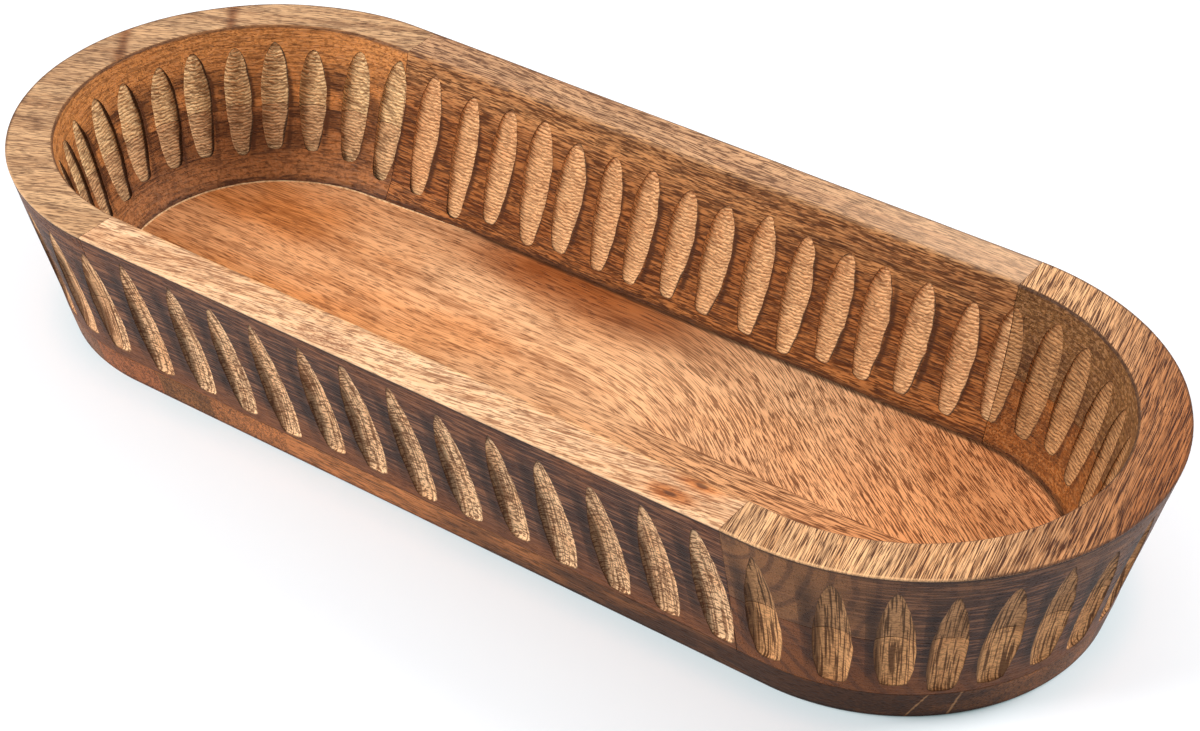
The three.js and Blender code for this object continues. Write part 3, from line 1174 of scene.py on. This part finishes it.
print("soot:", [round(part, 3) for part in SOOT_AND_SHADE[:3]])

# %% [markdown]
# Inside, the cut goes across the fibres and tears them a little, so there are fine wavy marks
# across it and, most of all at the left end, small ridges. The border keeps a thin scorched line,
# which painted shade makes wider on the right, where the cut is also darkened.

# %% Lay bare the cuts inside
RIPPLE_TURN = 2 * math.pi / 1.2


def inner_cut(name, ridges):
    """The cuts inside: wavy torn fibres, ridges across, and a scorched outline widened on the right by
    painted shade.
    """
    pale, tan, brown = (srgb(*tone) for tone in CUT_TONES[name, "inside"])
    material, (x, y, z) = start_finish(name + "_inside_cut")
    over, up_cut = read_map(x, CUT_MAP)
    luck, second = read_map(x, LUCK_MAP)
    run = run_along(x, y, name, INSIDE)
    below = MM_WALL / 2 + depth_in_wall(x, y, z)
    torn = noise(run / 2.2, (z + below * 1.5) / 0.6, luck * 9.0, 1.5, 0.6, 0.7)
    warp = noise(run / 2.6, z / 2.6, luck * 9.0, 1.0) * 9.0 + below * 6.0
    ripples = warp.math("SINE", z * RIPPLE_TURN + warp)
    steps = noise(over * 1.8 + luck * 40.0, up_cut * 20.0 + over * 2.0, luck * 40.0, 2.0, 0.6)
    clouds = noise(run / 5.0, z / 7.0, luck * 9.0, 2.0)
    colour = blend(second * 0.3 + clouds.smooth(0.4, 0.7) * 0.4, pale, tan)
    colour = blend(ripples.smooth(0.1, 0.9) * 0.55, colour, brown)
    colour = blend(torn.smooth(0.50, 0.57) * 0.5, colour, brown)
    colour = blend(steps.smooth(0.50, 0.62) * ridges, colour, brown)
    wobble = (torn - 0.5) * 0.7 + (steps - 0.5) * 0.4
    # Painted shade on the right of the cut, whose flank there faces away from the light: a wider dark
    # border and a darker cut.
    right = over.smooth(0.62, 0.92)
    border = (1 - (below + wobble * 0.6 - right * 0.9).smooth(0.15, 0.65)) * 0.92
    colour = blend((border + right * 0.2).clamp(0.0, 0.94), colour, SOOT_AND_SHADE)
    height = steps * -ridges * 1.8 - torn * 0.6 - ripples * 0.12
    return finish(material, colour, 0.6 + torn * 0.1, height, 0.8)


CUT_FINISH = {}
for name in WALL_FINISH:
    stipple, lined = (0.8, 0.7) if "rail" in name else (0.45, 0.85)
    CUT_FINISH[name, "outside"] = outer_cut(name, stipple, lined)
    CUT_FINISH[name, "inside"] = inner_cut(name, 0.5 if name.startswith("left") else 0.15)
print("cut finishes:", len(CUT_FINISH))

# %% [markdown]
# The cuts are subtracted board by board, so the sweeps near a board are joined into one tool. A
# cloud pattern makes it a little uneven, as the work of a hand-held gouge is. Each sweep carries a
# marker material for its face of the wall.

# %% Join the sweeps into a tool
CHATTER = 0.8 * MM
CHATTER_SIZE = 5 * MM
chatter = cloud_texture("tool_chatter", CHATTER_SIZE)
MARKERS = {face: bpy.data.materials.new(face + "_marker") for face in ("outside", "inside")}
for face, cuts in (("outside", outside_cuts), ("inside", inside_cuts)):
    for cut in cuts:
        cut.data.materials.append(MARKERS[face])


def box_of(piece):
    """The low and high corners of a piece's mesh."""
    columns = list(zip(*(v.co for v in piece.data.vertices)))
    return tuple(Vector([end(column) for column in columns]) for end in (min, max))


def joined_tool(board):
    """The sweeps that reach a board, as one mesh."""
    low, high = box_of(board)
    near = []
    for cut in outside_cuts + inside_cuts:
        cut_low, cut_high = box_of(cut)
        if all(cut_low[i] < high[i] and cut_high[i] > low[i] for i in range(3)):
            near.append(copy_of(cut, "tool"))
    bpy.ops.object.select_all(action="DESELECT")
    for cut in near:
        cut.select_set(True)
    bpy.context.view_layer.objects.active = near[0]
    bpy.ops.object.join()
    tool = bpy.context.object
    apply_modifier(tool, "DISPLACE", texture=chatter, texture_coords="LOCAL", strength=CHATTER)
    return tool


print("sweeps marked:", len(outside_cuts) + len(inside_cuts))

# %% [markdown]
# The Boolean modifier passes the tool's marker on to the faces that it cuts, and the board's own
# bare finish then takes the marker's place. The border of every cut is marked sharp, so the flats
# stay flat and the cuts stay round in the shading.

# %% Carve the boards
SHADING_ANGLE = math.radians(35)


def shade(board):
    """Smooths a board's shading up to an angle, and lets its large faces lead."""
    bpy.ops.object.shade_smooth_by_angle(angle=SHADING_ANGLE, keep_sharp_edges=True)
    apply_modifier(board, "WEIGHTED_NORMAL", keep_sharp=True)


def carve(name, board):
    """Cuts the sweeps out of a board and finishes its faces."""
    board.data.materials.clear()
    board.data.materials.append(WALL_FINISH[name])
    for layer_name in (CUT_MAP, LUCK_MAP):
        board.data.uv_layers.new(name=layer_name)
    tool = joined_tool(board)
    apply_modifier(board, "BOOLEAN", operation="DIFFERENCE", object=tool, solver="EXACT",
                   material_mode="TRANSFER")
    discard(tool)
    for slot in board.material_slots:
        for face, marker in MARKERS.items():
            if slot.material == marker:
                slot.material = CUT_FINISH[name, face]
    edit(board)
    pick(board, "FACE", lambda f: f.material_index > 0)
    bpy.ops.mesh.region_to_loop()
    bpy.ops.mesh.mark_sharp()
    close()
    shade(board)
    "rail_wood" if "rail" in name else "end_wood"
    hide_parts(name)
    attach(board, "root")


for name, board in boards.items():
    carve(name, board)
    print(name, len(board.data.polygons), "faces")
discard(*outside_cuts, *inside_cuts)

# %% [markdown]
# The base is a slab with the same leaning edge, sawn into one wide board at the back and a row of
# shorter ones in front. The glue lines are too fine to see on the floor, so the boards are sawn at
# the middle of each glue line and meet there; on the outer edge the blocks show by their different
# tones.

# %% Saw the base boards
BASE_STEPS = 144
FOOT_ARRIS = 0.8 * MM


def draw_base():
    """The base slab before it is sawn."""
    slab = round_ring(reach(0.0), 0.0, BASE_STEPS, "NGON")
    edit(slab)
    bpy.ops.mesh.select_all(action="SELECT")
    bpy.ops.mesh.extrude_region_move(TRANSFORM_OT_translate={"value": (0, 0, BASE)})
    grow_by = reach(BASE) / reach(0.0)
    bpy.ops.transform.resize(value=(grow_by, grow_by, 1), center_override=(0, 0, 0))
    pull_apart(slab)
    bpy.ops.mesh.select_all(action="SELECT")
    bpy.ops.mesh.normals_make_consistent(inside=False)
    pick(slab, "EDGE", lambda e: all(v.co.z < NEAR for v in e.verts))
    bpy.ops.mesh.bevel(offset=FOOT_ARRIS, segments=2, affect="EDGES")
    close()
    return slab


def saw_base(name):
    """One base board: the slab cut down to where its solid lies, up to the middle of its glue lines."""
    low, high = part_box(name)
    whole_low, whole_high = box_of(slab)
    board = copy_of(slab, name + "_sawn")
    half = GLUE_LINE / 2
    for axis in (0, 1):
        facing = Vector((0, 0, 0))
        if low[axis] > whole_low[axis] + 1 * MM:
            facing[axis] = -1
            saw(board, low + facing * half, facing)
        if high[axis] < whole_high[axis] - 1 * MM:
            facing[axis] = 1
            saw(board, high + facing * half, facing)
    return board


slab = draw_base()
BASE_NAMES = [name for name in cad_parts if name.startswith("base_")]
base_boards = {name: saw_base(name) for name in sorted(BASE_NAMES)}
discard(slab)
print("base boards:", {name: len(piece.data.polygons) for name, piece in base_boards.items()})

# %% [markdown]
# The wide back board of the floor has the figure that catches the eye: its fibres run straight at
# the left and then swing across towards the right, so the pores fan out. Bending the place along
# the board before the wood is grown does that.

# %% Fan out the grain
FAN_START = -10.0
FAN_WIDTH = 70.0
FAN_SLOPE = 0.73


def fanned(x, y, fan):
    """The place along and across the fibres of a board whose grain swings to the right."""
    part = ((x - FAN_START) / FAN_WIDTH).clamp()
    swing = (part ** 3 - part ** 4 * 0.5) * (FAN_WIDTH * FAN_SLOPE)
    rest = (x - (FAN_START + FAN_WIDTH)).at_least(0.0) * FAN_SLOPE
    return x - y * part * (0.6 * fan), y + (swing + rest) * fan


print("fan slope", FAN_SLOPE, "from x", FAN_START, "mm")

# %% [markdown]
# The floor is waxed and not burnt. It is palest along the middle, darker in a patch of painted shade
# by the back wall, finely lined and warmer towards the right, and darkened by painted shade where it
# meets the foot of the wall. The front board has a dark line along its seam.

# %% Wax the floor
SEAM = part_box("base_back_board")[0].y / MM
FLOOR_EDGE = reach(BASE, WALL) / MM
AMBER = srgb(228, 186, 130)
BACK_WALL_SHADE = srgb(186, 146, 112)
FLOOR_LINE = srgb(96, 52, 28)
WARM_RIGHT = srgb(255, 228, 204)
STRIP = srgb(240, 238, 236)
WALL_SHADE = srgb(58, 37, 25)
LEFT_PART = (-120.0, -40.0)
RIGHT_PART = (-20.0, 70.0)
FAR_RIGHT = (60.0, 130.0)
PATCH_ALONG = (-70.0, 30.0)
PATCH_BACK = (34.0, 56.0)
SEAM_LINE = (-60.0, -30.0)
SHADE_STARTS = (-84.0, -66.0)


def waxed_floor(name, fan, strip):
    """The finish of a base board's top and underside."""
    wood = WOODS["floor"]
    material, (x, y, z) = start_finish(name)
    along, across = fanned(x, y, fan)
    grown = grow(along, across, z, wood, pore_length=6.0, pore_gap=0.85)
    cloudy = noise(x * 0.014 + wood["seed"], y * 0.04, z * 0.03, 3.0)
    left = 1 - (x + y * 0.6).smooth(*LEFT_PART)
    # Painted shade: a darker patch on the floor by the back wall.
    back_wall_shade = (y + cloudy * 16.0).smooth(*PATCH_BACK) * x.within(*PATCH_ALONG, 25.0)
    amber = (cloudy.smooth(0.45, 0.7) * 0.5 + left * 0.35).clamp()
    colour = tint(grown["colour"], AMBER, amber)
    colour = tint(colour, BACK_WALL_SHADE, back_wall_shade)
    to_right = x.smooth(*RIGHT_PART)
    colour = blend(to_right * 0.35, colour, wood["pale"])
    colour = blend(grown["streaks"].smooth(0.51, 0.55) * to_right * 0.75, colour, FLOOR_LINE)
    colour = blend(grown["pores"] * to_right * 0.35, colour, FLOOR_LINE)
    colour = tint(colour, WARM_RIGHT, x.smooth(*FAR_RIGHT))
    if strip:
        colour = tint(colour, STRIP)
        line = (y + cloudy - 0.5).smooth(SEAM - 0.8, SEAM - 0.2) * x.smooth(*SEAM_LINE)
        colour = blend(line * 0.55, colour, wood["pore"])
    by_foot = out_of_middle(x, y).smooth(FLOOR_EDGE - 1.8, FLOOR_EDGE - 0.5)
    colour = blend(by_foot * x.smooth(*SHADE_STARTS) * 0.8, colour, WALL_SHADE)
    height = grown["streaks"] * 0.3 - grown["pores"] * 0.8
    return finish(material, colour, 0.46 + grown["pores"] * 0.2, height, 0.25)


print("floor ends", round(FLOOR_EDGE, 1), "mm from the middle line")

# %% [markdown]
# The outer edge of the base shows end grain on the short blocks and long grain on the two boards,
# each in its own tone. It gets darker towards the right end, where a saw has left slanting marks
# and two pale scratches.

# %% Stain the edge of the base
EDGE_TONES = {
    "base_back_board": (122, 76, 48),
    "base_front_board": (172, 108, 62),
    "base_front_block_1": (126, 82, 54),
    "base_front_block_2": (156, 92, 54),
    "base_front_block_3": (126, 80, 44),
    "base_front_block_4": (168, 104, 58),
}
SCRATCHES = ((158.7, 165.0), (168.0, 172.0))
SCRATCH = srgb(186, 138, 94)
DARK_EDGE = srgb(52, 33, 25)
END_GRAIN = srgb(84, 52, 36)
SAW_MARK = srgb(48, 33, 28)
FOOT_SHADE = srgb(150, 120, 104)
DARKER_RIGHT = (-40.0, 110.0)
PALER_TIP = (140.0, 190.0)
SAWN_RIGHT = (60.0, 150.0)


def shaded(tone, by):
    """A given colour, made lighter or darker."""
    return tuple(min(255.0, part * by) for part in tone)


def scratched(colour, x, y, z):
    """Two pale scratches that climb the edge at the right end."""
    ragged = noise(x * 0.8, y * 0.8, z * 0.8)
    for foot_x, head_x in SCRATCHES:
        lean = (head_x - foot_x) / MM_BASE
        near = 1 - (abs(x - z * lean - foot_x) + ragged * 0.7).smooth(0.35, 0.75)
        colour = blend(near * (1 - y.smooth(-46.0, -40.0)) * 0.7, colour, SCRATCH)
    return colour


def stained_edge(name, tone, block):
    """The finish of a base board's outer edge."""
    tones = [shaded(tone, by) for by in (1.18, 1.0, 0.55, 0.42)]
    edge_wood = wood(*tones, grain=0.0, heart=(30.0, 90.0), seed=5.1, fine=0.6, long=7.0, pores=0.5)
    material, (x, y, z) = start_finish(name)
    along, across = (y, x) if block else (x, y)
    grown = grow(along, across, z, edge_wood, pore_length=4.0, pore_gap=0.9)
    patches = noise(x * 0.04, y * 0.04, z * 0.14, 3.0)
    stipple = noise(x * 0.9, y * 0.9, z * 0.9, 2.0, 0.6)
    saw_marks = noise((x + z) * 0.7, y * 0.7, z * 0.15, 2.0)
    darker = x.smooth(*DARKER_RIGHT) - x.smooth(*PALER_TIP) * 0.4 + (patches - 0.5) * 1.5
    colour = blend(darker.clamp(0.0, 0.92), grown["colour"], DARK_EDGE)
    colour = blend(stipple.smooth(0.52, 0.66) * (0.5 if block else 0.2), colour, END_GRAIN)
    colour = blend(saw_marks.smooth(0.52, 0.68) * x.smooth(*SAWN_RIGHT) * 0.5, colour, SAW_MARK)
    if not block:
        colour = scratched(colour, x, y, z)
    # Painted shade: the lowest part of the edge, by the floor, is darker.
    colour = tint(colour, FOOT_SHADE, 1 - z.smooth(0.4, 2.2))
    height = grown["streaks"] * 0.5 - grown["pores"] * 0.6 - stipple * 0.4
    return finish(material, colour, 0.5 + grown["pores"] * 0.15, height, 0.3)


print("edges to stain:", len(EDGE_TONES))

# %% [markdown]
# Each base board gets both finishes: wax on its flat faces and stain on its edge. The faces are
# told apart by the way they point. The fan is in the grain of every board but the straight one in
# front.

# %% Lay the base boards
LEVEL = 0.9


def lay_base(name, board):
    """Finishes a base board: the floor finish on its faces, the stain on its edges."""
    board.data.materials.clear()
    strip = name == "base_front_board"
    board.data.materials.append(waxed_floor(name + "_wax", 0.0 if strip else 1.0, strip))
    board.data.materials.append(stained_edge(name + "_edge", EDGE_TONES[name], "block" in name))
    edit(board)
    pick(board, "FACE", lambda f: abs(f.normal.z) < LEVEL)
    board.active_material_index = 1
    bpy.ops.object.material_slot_assign()
    close()
    shade(board)
    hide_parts(name)
    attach(board, "root")


for name, board in base_boards.items():
    lay_base(name, board)
print("base finished:", len(base_boards), "boards")

# %% [markdown]
# On the real bowl a pale line of filler shows where the floor meets the wall, round the left end
# and part of the way along the back. It is a thin bead along the wall's foot: a ring, cut to that
# stretch, made a curve with a round section that tapers out at both ends, and then a mesh.

# %% Run the filler bead
BEAD = 0.4 * MM
BEAD_SINK = 0.1 * MM
BEAD_BACK_END = -72 * MM
BEAD_FRONT_TURN = -40 * MM
BEAD_TAPER = 8


def run_bead():
    """The bead of filler along the foot of the wall."""
    bead = round_ring(reach(BASE, WALL) + BEAD_SINK, BASE, RIM_STEPS)
    bead.name = "floor_filler_bead"
    edit(bead)
    pull_apart(bead)
    divide_sides(bead)
    pick(bead, "VERT", lambda v: v.co.x > BEAD_BACK_END or v.co.y < BEAD_FRONT_TURN)
    bpy.ops.mesh.delete(type="VERT")
    close()
    flare_in(bead, lambda point: 1.0)
    bpy.ops.object.convert(target="CURVE")
    bead.data.bevel_depth = BEAD
    bead.data.bevel_resolution = 2
    bead.data.use_fill_caps = True
    points = bead.data.splines[0].points
    for i, point in enumerate(points):
        to_end = min(i, len(points) - 1 - i) / BEAD_TAPER
        point.radius = min(1.0, to_end + 0.15) * HAND.uniform(0.75, 1.1)
    bpy.ops.object.convert(target="MESH")
    return bead


bead = run_bead()
material, (x, y, z) = start_finish("filler")
grit = noise(x * 0.7, y * 0.7, z * 0.7, 3.0)
colour = blend(grit.smooth(0.4, 0.7), srgb(238, 198, 150), srgb(186, 140, 96))
bead.data.materials.append(finish(material, colour, grit * 0.2 + 0.6, grit, 0.2))
bpy.ops.object.shade_smooth()
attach(bead, "root")
print("bead:", len(bead.data.polygons), "faces")

# %% [markdown]
# The bowl stands on a plain white floor, like paper in a studio. The floor adds a little white for
# the camera alone, so that it reads as white paper and still keeps the bowl's soft shadow, a little
# cooler and deeper by the foot; far from the bowl it fades into the white surround.

# %% Lay the studio floor
scene = bpy.context.scene
scene.view_settings.view_transform = "Standard"
FLOOR_SIZE = 12
FLOOR_GAP = 0.05 * MM
PAPER_GLOW = 0.23
PAPER_FADE = (450.0, 900.0)
PAPER = (0.74, 0.76, 0.79, 1)
WHITE = (1, 1, 1, 1)
SHADOW_GLOW = (0.5, 0.78, 0.8, 1)
SHADOW_WIDTH = 13.0


def seen_rays(start):
    """1 for the rays that show the surround: to the camera, by a mirror or through glass."""
    straight = start.add("ShaderNodeLightPath", {}, {}, "Is Camera Ray")
    mirrored = straight.other("Is Glossy Ray")
    return (straight + mirrored + straight.other("Is Transmission Ray")).at_most(1.0)


def lay_floor():
    """The white floor that the bowl stands on."""
    bpy.ops.object.select_all(action="DESELECT")
    bpy.ops.mesh.primitive_plane_add(size=FLOOR_SIZE, location=(0, 0, -FLOOR_GAP))
    floor = bpy.context.object
    floor.name = "studio_floor"
    material, (x, y, _) = start_finish("studio_paper")
    paper = x.add("ShaderNodeBsdfDiffuse", {}, {"Color": PAPER})
    out = out_of_middle(x, y) - reach(0.0) / MM
    glow_colour = blend(out.smooth(0.0, SHADOW_WIDTH), SHADOW_GLOW, WHITE)
    glow = x.add("ShaderNodeEmission", {}, {"Color": glow_colour, "Strength": PAPER_GLOW})
    both = x.add("ShaderNodeAddShader", {}, {0: paper, 1: glow})
    white = x.add("ShaderNodeEmission", {}, {"Color": WHITE, "Strength": 1.0})
    away = (x * x + y * y) ** 0.5
    seen = x.add("ShaderNodeMixShader", {}, {0: away.smooth(*PAPER_FADE), 1: both, 2: white})
    shown = x.add("ShaderNodeMixShader", {}, {0: seen_rays(x), 1: paper, 2: seen})
    x.add("ShaderNodeOutputMaterial", {}, {"Surface": shown})
    floor.data.materials.append(material)


lay_floor()
print("floor:", FLOOR_SIZE, "m wide")

# %% [markdown]
# The light is a plain studio one: a large soft light at the front left, one at the back right, a
# weak one above, and an even glow from all round.

# %% Hang the lights
WORLD_LIGHT = 0.3


def light_world():
    """A white surround: full white where it is seen, and a soft even light on the bowl."""
    world = bpy.data.worlds.new("studio")
    scene.world = world
    world.use_nodes = True
    world.node_tree.nodes.clear()
    start = Flow(world.node_tree)
    even = start.add("ShaderNodeBackground", {}, {"Color": WHITE, "Strength": WORLD_LIGHT})
    white = start.add("ShaderNodeBackground", {}, {"Color": WHITE, "Strength": 1.0})
    shown = start.add("ShaderNodeMixShader", {}, {0: seen_rays(start), 1: even, 2: white})
    start.add("ShaderNodeOutputWorld", {}, {"Surface": shown})


def hang_light(name, place, size, power):
    """A square soft light that faces the bowl."""
    lamp = bpy.data.lights.new(name, "AREA")
    lamp.size = size
    lamp.energy = power
    light = bpy.data.objects.new(name, lamp)
    light.location = place
    light.rotation_euler = (-Vector(place)).to_track_quat("-Z", "Y").to_euler()
    scene.collection.objects.link(light)


light_world()
hang_light("left_light", (-0.82, -0.96, 0.9), size=0.8, power=25.0)
hang_light("right_light", (0.8, 0.75, 0.85), size=0.6, power=16.5)
hang_light("top_light", (0.0, 0.2, 1.6), size=1.2, power=3.0)

# %% [markdown]
# The camera stands where the photographer stood. Its place was worked out from the outlines of the
# rim, the foot and the floor: it looks down from the front right with a long lens, turned by half a
# degree.

# %% Stand the camera
AZIMUTH = math.radians(35.17)
ELEVATION = math.radians(36.62)
ROLL = math.radians(0.59)
DISTANCE = 875.8 * MM
AIM = Vector((-4.8, 29.2, 0.0)) * MM
LENS = 80.27
SENSOR = 36

outward = Vector((math.sin(AZIMUTH), -math.cos(AZIMUTH), 0))
back = outward * math.cos(ELEVATION) + Vector((0, 0, math.sin(ELEVATION)))
level = Vector((math.cos(AZIMUTH), math.sin(AZIMUTH), 0))
upright = back.cross(level)
right = level * math.cos(ROLL) + upright * math.sin(ROLL)
top = upright * math.cos(ROLL) - level * math.sin(ROLL)
camera_data = bpy.data.cameras.new("camera")
camera_data.lens = LENS
camera_data.sensor_width = SENSOR
camera = bpy.data.objects.new("camera", camera_data)
turned = Matrix((right, top, back)).transposed().to_4x4()
camera.matrix_world = Matrix.Translation(AIM + back * DISTANCE) @ turned
scene.collection.objects.link(camera)
scene.camera = camera
print("camera at", [round(v, 4) for v in camera.location])

# %% [markdown]
